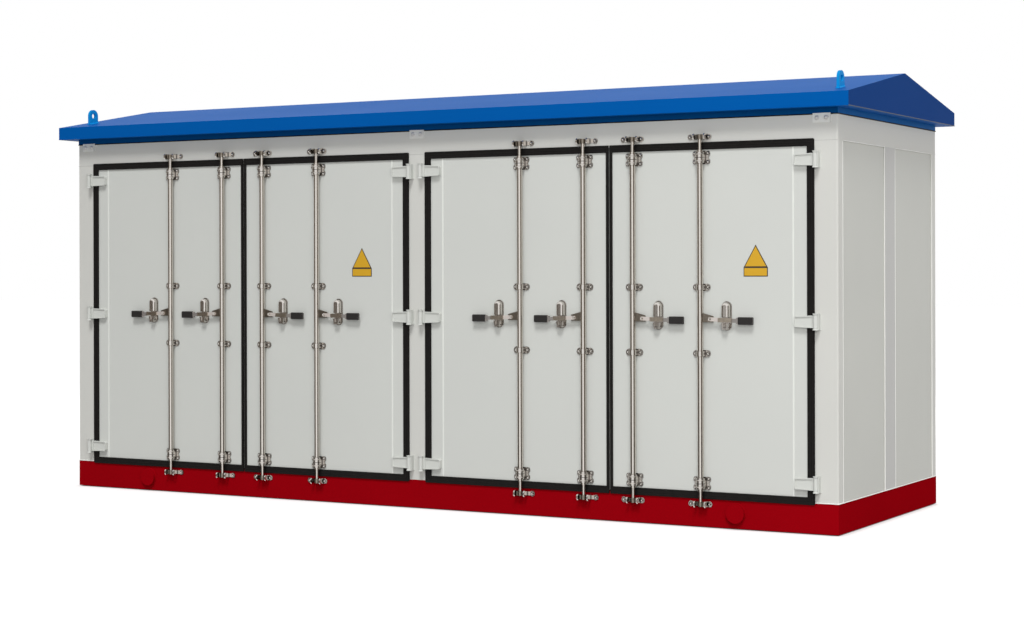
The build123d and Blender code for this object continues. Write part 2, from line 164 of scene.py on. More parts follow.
def start_tree(name, sizes):
    """A geometry tree with a named input for each size, and the outputs of its input node."""
    tree = bpy.data.node_groups.new(name, "GeometryNodeTree")
    tree.interface.new_socket("Geometry", in_out="INPUT", socket_type="NodeSocketGeometry")
    for label, kind in sizes.items():
        tree.interface.new_socket(label, in_out="INPUT", socket_type=kind)
    tree.interface.new_socket("Geometry", in_out="OUTPUT", socket_type="NodeSocketGeometry")
    return tree, add(tree, "NodeGroupInput").outputs


def end_tree(tree, geometry, material):
    """Ends a geometry tree: instances become real, the result is smooth and takes the material."""
    real = add(tree, "GeometryNodeRealizeInstances", {"Geometry": geometry})
    smooth = add(tree, "GeometryNodeSetShadeSmooth", {"Geometry": real.outputs["Geometry"]})
    coated = add(tree, "GeometryNodeSetMaterial", {"Geometry": smooth.outputs["Geometry"],
                                                   "Material": material})
    add(tree, "NodeGroupOutput", {"Geometry": coated.outputs["Geometry"]})


def grow(name, tree, points, edges, sizes, body):
    """Runs a tree on points or paths, keeps the plain mesh that it makes, and lets a body carry it."""
    seed = bpy.data.meshes.new(name)
    seed.from_pydata(points, edges, [])
    piece = bpy.data.objects.new(name, seed)
    bpy.context.scene.collection.objects.link(piece)
    modifier = piece.modifiers.new(tree.name, "NODES")
    modifier.node_group = tree
    for socket in tree.interface.items_tree:
        if socket.in_out == "INPUT" and socket.name in sizes:
            modifier[socket.identifier] = sizes[socket.name]
    grown = bpy.data.meshes.new_from_object(piece.evaluated_get(bpy.context.evaluated_depsgraph_get()))
    piece.modifiers.clear()
    piece.data = grown
    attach(piece, body)


# A bead is a round string laid along a path. Its thickness swells and shrinks from point to point.
bead_sides = 8
bead, size = start_tree("bead", {"Radius": "NodeSocketFloat", "Ripple": "NodeSocketFloat",
                                 "Pitch": "NodeSocketFloat", "Material": "NodeSocketMaterial"})
line = add(bead, "GeometryNodeMeshToCurve", {"Mesh": size["Geometry"]})
steps = add(bead, "GeometryNodeResampleCurve", {"Curve": line.outputs["Curve"],
                                                "Length": size["Pitch"]}, mode="LENGTH")
ring = add(bead, "GeometryNodeCurvePrimitiveCircle", {"Resolution": bead_sides,
                                                      "Radius": size["Radius"]})
order = add(bead, "GeometryNodeInputIndex")
odd = add(bead, "ShaderNodeMath", {0: order.outputs["Index"], 1: 2.0}, operation="MODULO")
swell = add(bead, "ShaderNodeMath", {0: odd.outputs[0], 1: size["Ripple"], 2: 1.0},
            operation="MULTIPLY_ADD")
string = add(bead, "GeometryNodeCurveToMesh", {"Curve": steps.outputs["Curve"], "Fill Caps": True,
                                               "Profile Curve": ring.outputs["Curve"],
                                               "Scale": swell.outputs[0]})
end_tree(bead, string.outputs["Mesh"], size["Material"])


def circles(centres, radius, axis, count):
    """Points and edges of closed circles round the Y or Z axis through each centre."""
    points, edges = [], []
    for centre in centres:
        first = len(points)
        for index in range(count):
            angle = 2 * math.pi * index / count
            across, along = radius * math.cos(angle), radius * math.sin(angle)
            step = (across, 0, along) if axis == "Y" else (across, along, 0)
            points.append(Vector(centre) + Vector(step))
            edges.append((first + index, first + (index + 1) % count))
    return points, edges


def lines(pairs):
    """Points and edges of straight stretches, each between its own two ends."""
    points = [end for pair in pairs for end in pair]
    return points, [(index, index + 1) for index in range(0, len(points), 2)]


boss_low, boss_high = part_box("lifting_bosses")
boss_radius = (boss_high.z - boss_low.z) / 2
boss_x = boss_high.x - boss_radius
boss_z = (boss_high.z + boss_low.z) / 2
boss_feet = [(x, y, boss_z) for x in (-boss_x, boss_x) for y in (base_low.y, base_high.y)]
grow("boss_welds", bead, *circles(boss_feet, boss_radius, "Y", boss_weld_points),
     {"Radius": boss_weld_radius, "Ripple": boss_weld_ripple, "Pitch": weld_ripple_pitch,
      "Material": red_enamel}, "enclosure")

# The floor is one steel plate welded to the channels' top flanges and brushed with grey primer.
# It is dull, with a slow change of tone where the primer was laid on thicker.
grey_primer = sprayed("grey_zinc_primer", "#74787a", "#6a6e70", 0.62, 14.0, 0.12)
give(["floor_plate"], grey_primer)

# Posts and headers are folded galvanised sheet, powder coated in a light grey. The fine even
# texture of the powder gives a soft sheen with no mirror in it.
grey_powder_coat = sprayed("light_grey_powder_coat", "#d6d6d1", "#d0d0cb", 0.46, 4.0, 0.03, gloss=0.2)
give(["corner_posts", "centre_post", "side_headers", "end_headers"], grey_powder_coat)

# Where a header sits on a post the two folded sheets are butted and tacked inside. The joint is
# filled with body putty, sanded and sprayed over, and stays as a hair line a little darker.
seam_radius = 0.0007
seam_pitch = 0.1
end_post_width = 0.147
seam_filler = sprayed("grey_joint_filler", "#a9a9a5", "#a2a29e", 0.60, 8.0, 0.05, gloss=0.1)
header_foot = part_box("side_headers")[0].z
post_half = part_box("centre_post")[1].x
seams = []
for y in (base_low.y, base_high.y):
    seams += [((x * base_high.x, y, header_foot),
               (x * (base_high.x - end_post_width), y, header_foot)) for x in (-1, 1)]
seams.append(((-post_half, base_low.y, header_foot), (post_half, base_low.y, header_foot)))
grow("post_head_seams", bead, *lines(seams), {"Radius": seam_radius, "Pitch": seam_pitch,
                                              "Material": seam_filler}, "enclosure")

# The wall panels are foam sandwich, set 6 mm back between flush mullions. Their steel faces are
# coated at the mill in a slightly greener grey than the folded frame round them, and the mullions
# are powder coated in a duller one.
panel_coat = sprayed("green_grey_coil_coat", "#cfd0ca", "#c9cac5", 0.44, 4.0, 0.02, gloss=0.15)
give(["left_end_wall", "right_end_wall", "back_wall"], panel_coat)
give(["ceiling_panel"], grey_powder_coat)
mullion_coat = sprayed("dull_grey_powder_coat", "#c9c9c7", "#c3c3c1", 0.46, 4.0, 0.03, gloss=0.2)
end_face, back_face = base_high.x, base_high.y
tolerance = 0.001
for name in ("left_end_wall", "right_end_wall"):
    give_faces(name, mullion_coat, lambda centre, normal: abs(centre.x) > end_face - tolerance)
give_faces("back_wall", mullion_coat, lambda centre, normal: centre.y > back_face - tolerance)

# White sealant is gunned along the foot of the walls and round each panel, and smoothed with a
# finger to a thin even bead. It is drawn paler than the coated steel, so that round the panels it
# is also a painted highlight along the edges of the recesses.
sealant_and_highlight = sprayed("white_silicone_sealant", "#f4f4f1", "#eeeeea", 0.55, 12.0, 0.10, gloss=0.3)
foot_bead_radius = 0.0032
panel_head_radius = 0.0032
panel_side_radius = 0.0024
sealant_pitch = 0.4
bead_sink = 0.0005
wall_foot, wall_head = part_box("back_wall")[0].z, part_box("back_wall")[1].z
panel_sides_y = sorted({round(vertex.co.y, 4) for vertex in nodes["right_end_wall"].data.vertices})
panel_sides_x = sorted({round(vertex.co.x, 4) for vertex in nodes["back_wall"].data.vertices})
foot = [((x, base_low.y, wall_foot), (x, base_high.y, wall_foot)) for x in (-end_face, end_face)]
foot += [((-end_face, back_face, wall_foot), (end_face, back_face, wall_foot))]
bay_edge = -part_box("door_1_seal")[0].x
foot += [((x * end_face, base_low.y, wall_foot), (x * bay_edge, base_low.y, wall_foot))
         for x in (-1, 1)]
grow("wall_foot_sealant", bead, *lines(foot), {"Radius": foot_bead_radius, "Pitch": sealant_pitch,
                                              "Material": sealant_and_highlight}, "enclosure")
sides, heads = [], []
for x in (-end_face + bead_sink, end_face - bead_sink):
    sides += [((x, y, wall_foot), (x, y, wall_head)) for y in panel_sides_y]
    heads += [((x, low, wall_head), (x, high, wall_head))
              for low, high in zip(panel_sides_y[::2], panel_sides_y[1::2])]
y = back_face - bead_sink
sides += [((x, y, wall_foot), (x, y, wall_head)) for x in panel_sides_x]
heads += [((low, y, wall_head), (high, y, wall_head))
          for low, high in zip(panel_sides_x[::2], panel_sides_x[1::2])]
for label, edges, radius in (("side", sides, panel_side_radius), ("head", heads, panel_head_radius)):
    grow(f"wall_panel_{label}_sealant", bead, *lines(edges),
         {"Radius": radius, "Pitch": sealant_pitch, "Material": sealant_and_highlight}, "enclosure")

# The roof is a folded gable of thin sheet, sprayed in a strong blue enamel. The gable ends are drawn
# in a deeper blue, a painted shade. The low sub-frame is drawn darker along the sides, a painted
# shade under the eaves, and brighter at the ends, a painted light.
blue_enamel = sprayed("blue_polyurethane_enamel", "#025cae", "#0257a5", 0.50, 6.0, 0.04, gloss=0.03)
deep_blue_enamel = sprayed("deep_blue_enamel", "#0f4084", "#0e3c7d", 0.55, 6.0, 0.04, gloss=0.02)
shaded_enamel = sprayed("shop_primed_blue_enamel", "#034d88", "#034980", 0.55, 6.0, 0.04, gloss=0.02)
end_rail_painted_light_enamel = sprayed("retouched_blue_enamel", "#0468b0", "#0462a6", 0.50, 6.0, 0.04, gloss=0.06)
square_on = 0.9
give(["roof_cover"], blue_enamel)
# The side rails take a darker blue, a painted shade under the eaves, and the end rails a brighter one, a
# painted light.
give(["roof_side_rails"], shaded_enamel)
give(["roof_end_rails"], end_rail_painted_light_enamel)
# The faces that look along the length take the deeper blue, a painted shade on the gable ends.
give_faces("roof_cover", deep_blue_enamel, lambda centre, normal: abs(normal.x) > square_on)

# A thin round bead of black rubber runs between the roof's sub-frame and the headers. It is a
# painted shadow for the shadow gap under the sub-frame, and shows as a thin dark line round the kiosk.
joint_strip_radius = 0.0035
bloom_mm = 33.33
epdm, tree, place = start_material("black_epdm_rubber")
bloom = add(tree, "ShaderNodeTexNoise", {"Vector": place, "Scale": 1 / (bloom_mm * MILLIMETRE),
                                         "Detail": 4.0})
tone = add(tree, "ShaderNodeMix", {0: bloom.outputs["Fac"], 6: linear("#151413"),
                                   7: linear("#1f1d1c")}, data_type="RGBA")
end_material(tree, {"Base Color": tone.outputs[2], "Roughness": 0.55, "Specular IOR Level": 0.12})
joint_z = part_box("roof_side_rails")[0].z
around = [((-end_face, y, joint_z), (end_face, y, joint_z)) for y in (-back_face, back_face)]
around += [((x, -back_face, joint_z), (x, back_face, joint_z)) for x in (-end_face, end_face)]
grow("roof_joint_rubber", bead, *lines(around), {"Radius": joint_strip_radius, "Pitch": sealant_pitch,
                                                "Material": epdm}, "enclosure")

# The roof sheet ends in a hem, folded back on itself along its lower edge. The hem of each gable
# is drawn in grey.
hem_radius = 0.0024
gable_hem_grey = sprayed("grey_galvanised_zinc", "#686c73", "#5c6067", 0.50, 10.0, 0.05, gloss=0.1)
roof_low, roof_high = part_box("roof_cover")
eaves = [((-roof_high.x, y, roof_low.z), (roof_high.x, y, roof_low.z))
         for y in (-roof_high.y, roof_high.y)]
gables = [((x, -roof_high.y, roof_low.z), (x, roof_high.y, roof_low.z))
          for x in (-roof_high.x, roof_high.x)]
for label, edges, material in (("eave", eaves, blue_enamel), ("gable", gables, gable_hem_grey)):
    grow(f"{label}_hems", bead, *lines(edges), {"Radius": hem_radius, "Pitch": sealant_pitch,
                                                "Material": material}, "enclosure")

# The lifting lugs are flame-cut plate, welded upright to the roof with a fillet bead round the foot
# and sprayed in a brighter blue than the sheet.
lug_blue = sprayed("bright_blue_enamel", "#0e98e0", "#0e90d6", 0.45, 6.0, 0.04, gloss=0.06)
give(["lifting_lugs"], lug_blue)
lug_weld_radius = 0.006
lug_weld_ripple = 0.15
lug_thickness = 0.016
lug_width = 0.084
lug_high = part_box("lifting_lugs")[1]
eave_z = max(vertex.co.z for vertex in nodes["roof_cover"].data.vertices
             if vertex.co.y > roof_high.y - tolerance)
slope = (roof_high.z - eave_z) / roof_high.y
welds = []
for x in (-lug_high.x, lug_high.x - lug_thickness):
    for side in (-1, 1):
        inner_y, outer_y = side * (lug_high.y - lug_width), side * lug_high.y
        inner_z, outer_z = [roof_high.z - slope * abs(y) for y in (inner_y, outer_y)]
        for face in (x, x + lug_thickness):
            welds.append(((face, inner_y, inner_z), (face, outer_y, outer_z)))
        welds.append(((x, inner_y, inner_z), (x + lug_thickness, inner_y, inner_z)))
        welds.append(((x, outer_y, outer_z), (x + lug_thickness, outer_y, outer_z)))
grow("lug_welds", bead, *lines(welds), {"Radius": lug_weld_radius, "Ripple": lug_weld_ripple,
                                       "Pitch": weld_ripple_pitch, "Material": lug_blue}, "enclosure")

# Small pressed clips tie the roof to the walls, each held by two bolts with domed cap nuts. The
# plates are drawn whiter than the walls, a painted light for the light that they catch standing
# proud, and the zinc on the nuts is dull.
clip_painted_light = sprayed("pale_brushed_paint", "#e6e6e2", "#dedfda", 0.45, 7.0, 0.08, gloss=0.25)
give(["roof_clips"], clip_painted_light)
bolt_zinc = sprayed("dull_zinc_plating", "#d9d8d6", "#d0cfcd", 0.40, 6.0, 0.03)
clip_width = 0.104
clip_thickness = 0.004
clip_bolt_pitch = 0.054
cap_nut_across = 0.021
cap_nut_height = 0.006

# A cap nut is a hexagon with a dome over it, on a round washer. The tree puts one on each point.
washer_over_nut, washer_thickness, washer_sides = 1.3, 0.003, 16
dome_over_nut, dome_segments, dome_rings = 0.88, 12, 8
cap_nuts, size = start_tree("cap_nuts", {"Across": "NodeSocketFloat", "Height": "NodeSocketFloat",
                                         "Facing": "NodeSocketVector", "Material": "NodeSocketMaterial"})
radius = add(cap_nuts, "ShaderNodeMath", {0: size["Across"], 1: 0.5}, operation="MULTIPLY")
hexagon_radius = add(cap_nuts, "ShaderNodeMath", {0: radius.outputs[0], 1: math.cos(math.pi / 6)},
                     operation="DIVIDE")
hexagon = add(cap_nuts, "GeometryNodeMeshCylinder", {"Vertices": 6, "Radius": hexagon_radius.outputs[0],
                                                     "Depth": size["Height"]})
washer_radius = add(cap_nuts, "ShaderNodeMath", {0: radius.outputs[0], 1: washer_over_nut},
                    operation="MULTIPLY")
washer = add(cap_nuts, "GeometryNodeMeshCylinder", {"Vertices": washer_sides, "Depth": washer_thickness,
                                                    "Radius": washer_radius.outputs[0]})
dome_radius = add(cap_nuts, "ShaderNodeMath", {0: radius.outputs[0], 1: dome_over_nut},
                  operation="MULTIPLY")
dome = add(cap_nuts, "GeometryNodeMeshUVSphere", {"Segments": dome_segments, "Rings": dome_rings,
                                                  "Radius": dome_radius.outputs[0]})
half = add(cap_nuts, "ShaderNodeMath", {0: size["Height"], 1: 0.5}, operation="MULTIPLY")
seat = add(cap_nuts, "ShaderNodeCombineXYZ", {"Z": half.outputs[0]})
seated = add(cap_nuts, "GeometryNodeTransform", {"Geometry": hexagon.outputs["Mesh"],
                                                 "Translation": seat.outputs["Vector"]})
top = add(cap_nuts, "ShaderNodeCombineXYZ", {"Z": size["Height"]})
domed = add(cap_nuts, "GeometryNodeTransform", {"Geometry": dome.outputs["Mesh"],
                                                "Translation": top.outputs["Vector"]})
nut = add(cap_nuts, "GeometryNodeJoinGeometry", {"Geometry": seated.outputs["Geometry"]})
cap_nuts.links.new(domed.outputs["Geometry"], nut.inputs["Geometry"])
cap_nuts.links.new(washer.outputs["Mesh"], nut.inputs["Geometry"])
turn = add(cap_nuts, "FunctionNodeAlignRotationToVector", {"Vector": size["Facing"]})
placed = add(cap_nuts, "GeometryNodeInstanceOnPoints", {"Points": size["Geometry"],
                                                        "Instance": nut.outputs["Geometry"],
                                                        "Rotation": turn.outputs[0]})
end_tree(cap_nuts, placed.outputs["Instances"], size["Material"])

clip_low, clip_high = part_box("roof_clips")
clip_z = (clip_low.z + clip_high.z) / 2
clip_face = base_high.y + clip_thickness
clip_middles = [clip_low.x + clip_width / 2, 0.0, clip_high.x - clip_width / 2]
for label, y, facing in (("front", -clip_face, (0, -1, 0)), ("back", clip_face, (0, 1, 0))):
    bolts = [(x + side * clip_bolt_pitch / 2, y, clip_z) for x in clip_middles for side in (-1, 1)]
    grow(f"clip_bolts_{label}", cap_nuts, bolts, [],
         {"Across": cap_nut_across, "Height": cap_nut_height, "Facing": facing,
          "Material": bolt_zinc}, "enclosure")

# The door leaves are folded pans of galvanised sheet, foamed inside and powder coated a little
# cooler and lighter than the frame round them.
door_powder_coat = sprayed("cool_white_powder_coat", "#d5d7d2", "#cfd1cd", 0.44, 4.0, 0.03, gloss=0.25)
doors = range(1, 5)
give([f"door_{n}_leaf" for n in doors], door_powder_coat)

# A narrow cover strip hides the lap of the two face sheets on the hinge side of each leaf. It is
# folded from the same sheet and glued on, and drawn whiter than the leaf, a painted highlight along
# its edge.
cover_strip_width = 0.009
cover_strip_height = 0.0022
cover_strip_from_seal = 0.125
cover_strip_edge = 0.0008
strip_painted_highlight = sprayed("white_edge_coat", "#eceee9", "#e6e8e3", 0.40, 4.0, 0.02, gloss=0.3)
seal_width = 0.042


def rounded_box(name, low, high, radius, material, body, segments=2):
    """A box between two corners with rounded edges, carried by a body."""
    mesh = bpy.data.meshes.new(name)
    corners = [(x, y, z)
               for x in (low[0], high[0]) for y in (low[1], high[1]) for z in (low[2], high[2])]
    sides = [(0, 1, 3, 2), (4, 6, 7, 5), (0, 4, 5, 1), (2, 3, 7, 6), (0, 2, 6, 4), (1, 5, 7, 3)]
    mesh.from_pydata(corners, [], sides)
    mesh.shade_smooth()
    mesh.materials.append(material)
    piece = bpy.data.objects.new(name, mesh)
    bpy.context.scene.collection.objects.link(piece)
    rounding = piece.modifiers.new("rounded_edges", "BEVEL")
    rounding.width = radius
    rounding.segments = segments
    rounding.harden_normals = True
    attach(piece, body)


hinge_side = {n: 1 if joints[f"door_{n}_hinge"]["range_deg"][1] > 0 else -1 for n in doors}
leaf_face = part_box("door_1_leaf")[0].y
for n, side in hinge_side.items():
    seal_low, seal_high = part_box(f"door_{n}_seal")
    x = (seal_high.x if side > 0 else seal_low.x) - side * cover_strip_from_seal
    low = (x - cover_strip_width / 2, leaf_face - cover_strip_height, seal_low.z + seal_width)
    high = (x + cover_strip_width / 2, leaf_face + MILLIMETRE, seal_high.z - seal_width)
    rounded_box(f"door_{n}_cover_strip", low, high, cover_strip_edge, strip_painted_highlight, f"door_{n}")

# The door seals are extruded EPDM, cut at 45 degrees and glued at the corners. Ribs run along the
# face of the extrusion, three on the wide sides and one where the two leaves meet.
give([f"door_{n}_seal" for n in doors], epdm)
rib_radius = 0.0022
rib_insets = (0.007, 0.021, 0.035)
meeting_width = 0.016
for n, side in hinge_side.items():
    low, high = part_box(f"door_{n}_seal")
    hinge_x, meeting_x = (high.x, low.x) if side > 0 else (low.x, high.x)
    ribs = []
    for inset in rib_insets:
        x, bottom, head = hinge_x - side * inset, low.z + inset, high.z - inset
        ribs += [((meeting_x, low.y, z), (x, low.y, z)) for z in (bottom, head)]
        ribs.append(((x, low.y, bottom), (x, low.y, head)))
    middle = meeting_x + side * meeting_width / 2
    ribs.append(((middle, low.y, low.z + seal_width), (middle, low.y, high.z - seal_width)))
    grow(f"door_{n}_seal_ribs", bead, *lines(ribs), {"Radius": rib_radius, "Pitch": sealant_pitch,
                                                    "Material": epdm}, f"door_{n}")

# The hinges are forged container hinges. The straps are bolted through the leaves, the butts are
# welded to the posts down their outer edge, and all is brushed over with pale grey paint.
hinge_paint = sprayed("pale_hinge_paint", "#d6d8d3", "#ced0cb", 0.42, 7.0, 0.10, gloss=0.35)
give([f"door_{n}_hinge_straps" for n in doors] + ["hinge_butts"], hinge_paint)
butt_weld_radius = 0.003
butt_weld_ripple = 0.2
butt_reach = 0.017
butt_half = 0.046
barrel_height = 0.070
strap_low, strap_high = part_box("door_1_hinge_straps")
hinge_pitch = (strap_high.z - strap_low.z - barrel_height) / 2
welds = []
for n, side in hinge_side.items():
    pin_x, _, middle = joints[f"door_{n}_hinge"]["pos_m"]
    x = pin_x + side * butt_reach
    for step in (-1, 0, 1):
        z = middle + step * hinge_pitch
        welds.append(((x, base_low.y, z - butt_half), (x, base_low.y, z + butt_half)))
grow("butt_welds", bead, *lines(welds),
     {"Radius": butt_weld_radius, "Ripple": butt_weld_ripple, "Pitch": weld_ripple_pitch,
      "Material": hinge_paint}, "enclosure")

# The lock rods are stainless tube, drawn, polished on a wheel and passivated. They mirror the studio,
# and the side next to the leaf is drawn dull and dark by ambient occlusion, a painted shade.
rod_shade_reach = 0.035
shut_in, open_to_all = 0.45, 0.90
grain_mm = 11.11
occlusion_samples = 8
stainless, tree, place = start_material("polished_stainless_steel")
grain = add(tree, "ShaderNodeTexNoise", {"Vector": place, "Scale": 1 / (grain_mm * MILLIMETRE),
                                         "Detail": 2.0})
polish = add(tree, "ShaderNodeMapRange", {"Value": grain.outputs["Fac"], "To Min": 0.12, "To Max": 0.18})
open_side = add(tree, "ShaderNodeAmbientOcclusion", {"Distance": rod_shade_reach},
                samples=occlusion_samples)
rod_painted_shade = add(tree, "ShaderNodeMapRange", {"Value": open_side.outputs["AO"], "From Min": shut_in,
                                         "From Max": open_to_all})
tone = add(tree, "ShaderNodeMix", {0: rod_painted_shade.outputs["Result"], 6: linear("#b9b1a8"),
                                   7: linear("#dcd6ce")}, data_type="RGBA")
end_material(tree, {"Base Color": tone.outputs[2], "Metallic": 1.0,
                    "Roughness": polish.outputs["Result"]})
rod_numbers = range(1, 9)
give([f"lock_rod_{n}" for n in rod_numbers], stainless)

# The handle bars are cut from flat bar and linished on a belt. The fine scratches scatter the light,
# so the bars stay pale. The front of the end beside the grip is drawn darker, a painted shade. The
# scratches are drawn 3 mm apart, as real ones are too fine to show.
scratch_mm = 3.0


def linished(name, colour):
    """Steel ground on a belt, with fine scratches that vary its gloss."""
    material, tree, place = start_material(name)
    scratches = add(tree, "ShaderNodeTexNoise", {"Vector": place, "Scale": 1 / (scratch_mm * MILLIMETRE),
                                                 "Detail": 2.0})
    polish = add(tree, "ShaderNodeMapRange", {"Value": scratches.outputs["Fac"], "To Min": 0.50,
                                              "To Max": 0.60})
    end_material(tree, {"Base Color": linear(colour), "Metallic": 1.0,
                        "Roughness": polish.outputs["Result"]})
    return material


linished_steel = linished("linished_stainless_bar", "#e8e0da")
bar_end_painted_shade = linished("heat_dulled_stainless_bar", "#a6a19d")
give([f"handle_{n}" for n in rod_numbers], linished_steel)

# The brackets, catches and keepers are pressed from stainless sheet and bolted on. Handling has
# polished what stands proud, and ambient occlusion darkens the corners round nuts and feet, a painted
# shade with old oil in it.
corner_reach = 0.012
in_a_corner, proud = 0.40, 0.95
pressed_steel, tree, _ = start_material("pressed_stainless_steel")
open_sides = add(tree, "ShaderNodeAmbientOcclusion", {"Distance": corner_reach},
                 samples=occlusion_samples)
fitting_painted_shade = add(tree, "ShaderNodeMapRange", {"Value": open_sides.outputs["AO"], "From Min": in_a_corner,
                                          "From Max": proud})
tone = add(tree, "ShaderNodeMix", {0: fitting_painted_shade.outputs["Result"], 6: linear("#3d3731"),
                                   7: linear("#dad5cf")}, data_type="RGBA")
end_material(tree, {"Base Color": tone.outputs[2], "Metallic": 1.0, "Roughness": 0.2})
give([f"door_{n}_lock_fittings" for n in doors] + ["keepers"], pressed_steel)

# The cams and hub plates are cast or flame-cut from the same steel and only tumbled, so they stay
# browner and duller than the drawn tubes. The hasps over the bars are rubbed brighter.
mottle_mm = 12.0


def tumbled(name, dark, light):
    """Cast steel from the tumbling drum, mottled between two tones."""
    material, tree, place = start_material(name)
    mottle = add(tree, "ShaderNodeTexNoise", {"Vector": place, "Scale": 1 / (mottle_mm * MILLIMETRE),
                                              "Detail": 3.0})
    tone = add(tree, "ShaderNodeMix", {0: mottle.outputs["Fac"], 6: linear(dark), 7: linear(light)},
               data_type="RGBA")
    end_material(tree, {"Base Color": tone.outputs[2], "Metallic": 1.0, "Roughness": 0.28})
    return material


tumbled_steel = tumbled("tumbled_cast_stainless_steel", "#6d655a", "#a79e92")
rubbed_steel = tumbled("rubbed_cast_stainless_steel", "#9d9183", "#d3c8b9")
rods = {joint["child"]: joint for joint in frame["joints"] if joint["name"].startswith("rod_")}
tube_radius = 0.017
hair = 0.0005
cam_foot = 1.021
catch_reach = 0.153
hasp_half = 0.042
bar_face = 0.0095
for name, joint in rods.items():
    axis_x, axis_y, middle = joint["pos_m"]
    give_faces(f"lock_{name}", tumbled_steel,
               lambda centre, normal: abs(centre.z - middle) > cam_foot
               or math.hypot(centre.x - axis_x, centre.y - axis_y) > tube_radius + hair)
    handle = name.replace("rod", "handle")
    give_faces(handle, rubbed_steel,
               lambda centre, normal: abs(abs(centre.x - axis_x) - catch_reach) < hasp_half
               and centre.y < axis_y - bar_face)
    # The front faces of the bar beyond the hasp take the darker steel, a painted shade.
    give_faces(handle, bar_end_painted_shade,
               lambda centre, normal: abs(centre.x - axis_x) > catch_reach + hasp_half
               and normal.y < -square_on)

# Each bracket and keeper is bolted down with stainless cap nuts: four on a tall bracket, two on a
# short one and two on a keeper. A dark ring round each nut is painted contact shade, with old grease
# and road dust in it.
grease_and_shade, tree, _ = start_material("dark_lithium_grease")
end_material(tree, {"Base Color": linear("#3a3430"), "Roughness": 0.35})
nut_across = 0.014
nut_height = 0.005
nut_shade_ring_radius = 0.0102
nut_shade_ring_thickness = 0.0013
nut_shade_ring_pitch = 0.004
nut_shade_ring_points = 16
tall_bracket_reach = (0.041, 0.025)
short_bracket_reach = 0.0395
short_bracket_pitch = 0.187
tall_bracket_height = 0.074
bracket_thickness = 0.005
bracket_face = leaf_face - bracket_thickness
fittings_low, fittings_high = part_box("door_1_lock_fittings")
tall_bracket_pitch = (fittings_high.z - fittings_low.z - tall_bracket_height) / 2
front_facing = (0, -1, 0)
for n in doors:
    points = []
    for joint in rods.values():
        if joint["parent"] != f"door_{n}":
            continue
        rod_x, _, middle = joint["pos_m"]
        for up in (-1, 1):
            for across in (-1, 1):
                points.append((rod_x + across * short_bracket_reach, bracket_face,
                               middle + up * short_bracket_pitch))
                for step in (-1, 1):
                    points.append((rod_x + across * tall_bracket_reach[0], bracket_face,
                                   middle + up * tall_bracket_pitch + step * tall_bracket_reach[1]))
    grow(f"door_{n}_bracket_nuts", cap_nuts, points, [], {"Across": nut_across, "Height": nut_height,
                                                         "Facing": front_facing,
                                                         "Material": pressed_steel}, f"door_{n}")
    grow(f"door_{n}_nut_grease", bead, *circles(points, nut_shade_ring_radius, "Y", nut_shade_ring_points),
         {"Radius": nut_shade_ring_thickness, "Pitch": nut_shade_ring_pitch, "Material": grease_and_shade}, f"door_{n}")
keeper_pitch = 1.035
keeper_shift = 0.012
keeper_nut_reach = 0.057
keeper_thickness = 0.005
keeper_face = base_low.y - keeper_thickness
points = []
for joint in rods.values():
    rod_x, _, middle = joint["pos_m"]
    side = hinge_side[int(joint["parent"][-1])]
    for up in (-1, 1):
        for across in (-1, 1):
            points.append((rod_x - side * keeper_shift + across * keeper_nut_reach, keeper_face,
                           middle + up * keeper_pitch))
grow("keeper_nuts", cap_nuts, points, [], {"Across": nut_across, "Height": nut_height,
                                          "Facing": front_facing, "Material": pressed_steel}, "enclosure")
grow("keeper_nut_grease", bead, *circles(points, nut_shade_ring_radius, "Y", nut_shade_ring_points),
     {"Radius": nut_shade_ring_thickness, "Pitch": nut_shade_ring_pitch, "Material": grease_and_shade}, "enclosure")

# A tall bracket is two half shells. Each has a rolled rim round the rod, and the slit between them
# stays dark with the grease that is pressed out of it.
rim_radius = 0.0028
rim_height = 0.019
rim_pitch = 0.006
rim_points = 24
slit_radius = 0.0016
saddle_radius = 0.0255
for n in doors:
    centres = [Vector(joint["pos_m"]) + Vector((0, 0, up * tall_bracket_pitch))
               for joint in rods.values() if joint["parent"] == f"door_{n}" for up in (-1, 1)]
    rims = [centre + Vector((0, 0, up * rim_height)) for centre in centres for up in (-1, 1)]
    grow(f"door_{n}_bracket_rims", bead, *circles(rims, saddle_radius, "Z", rim_points),
         {"Radius": rim_radius, "Pitch": rim_pitch, "Material": stainless}, f"door_{n}")
    grow(f"door_{n}_bracket_slits", bead, *circles(centres, saddle_radius, "Z", rim_points),
         {"Radius": slit_radius, "Pitch": rim_pitch, "Material": grease_and_shade}, f"door_{n}")

# The end of each handle is dipped in black soft PVC, which leaves a thick skin with round edges. A
# pressed ferrule closes it against the bar, and a cap nut holds the bar on the hub plate.
skin_wave_mm, skin_depth_mm = 6.0, 0.2
dipped_pvc, tree, place = start_material("black_dipped_pvc")
skin = add(tree, "ShaderNodeTexNoise", {"Vector": place, "Scale": 1 / (skin_wave_mm * MILLIMETRE),
                                        "Detail": 2.0})
bump = add(tree, "ShaderNodeBump", {"Height": skin.outputs["Fac"], "Strength": 0.5,
                                    "Distance": skin_depth_mm * MILLIMETRE})
end_material(tree, {"Base Color": linear("#292726"), "Roughness": 0.45, "Normal": bump.outputs["Normal"],
                    "Specular IOR Level": 0.25})
grip_start = 0.230
grip_skin = 0.0015
grip_half_height = 0.020
grip_edge = 0.006
bar_front, bar_back = 0.013, 0.001
ferrule_length = 0.010
ferrule_half_height = 0.017
ferrule_inset = 0.003
ferrule_edge = 0.002
handle_reach = 0.322
pivot_reach = 0.059
pivot_rise = 0.008
pivot_nut_height = 0.004
pivot_nut_sink = 0.0015
